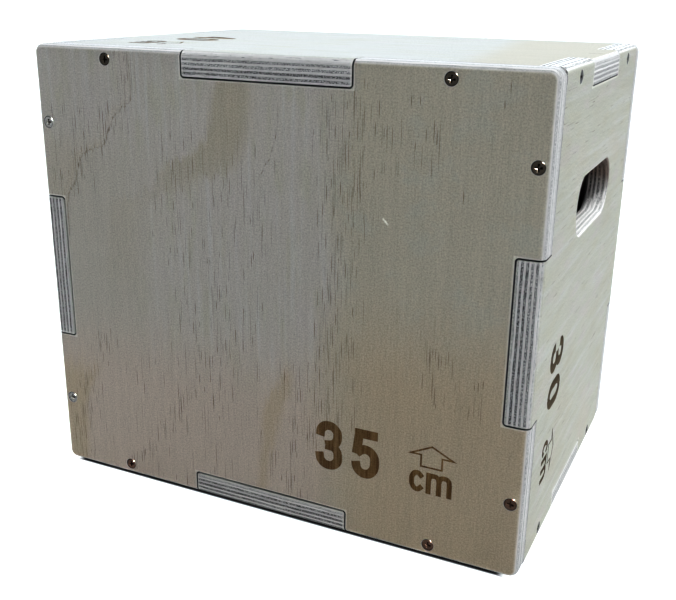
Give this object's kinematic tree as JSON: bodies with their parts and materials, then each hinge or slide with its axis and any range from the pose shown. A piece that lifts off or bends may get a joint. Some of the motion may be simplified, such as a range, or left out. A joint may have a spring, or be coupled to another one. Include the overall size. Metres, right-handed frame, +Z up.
{
  "type": "plyo box",
  "caption": "Free-standing plywood box of tab-jointed, screwed panels with rounded edges and hand holes in its ends, for jumping and stepping at different heights.",
  "frame": {"origin": "middle of the base, on the floor", "axes": "+Z up, +X along the width, the front face looks along -Y"},
  "size_m": [0.4, 0.3, 0.35],
  "materials": {
    "plywood": "sanded, unpainted",
    "screw_steel": "bronze plated"
  },
  "bodies": {
    "root": {"front_panel": "plywood", "back_panel": "plywood", "left_panel": "plywood", "right_panel": "plywood", "top_panel": "plywood", "bottom_panel": "plywood", "front_top_screws": "screw_steel", "front_bottom_screws": "screw_steel", "front_left_screws": "screw_steel", "front_right_screws": "screw_steel", "back_top_screws": "screw_steel", "back_bottom_screws": "screw_steel", "back_left_screws": "screw_steel", "back_right_screws": "screw_steel", "left_top_screws": "screw_steel", "left_bottom_screws": "screw_steel", "right_top_screws": "screw_steel", "right_bottom_screws": "screw_steel"}
  },
  "joints": []
}
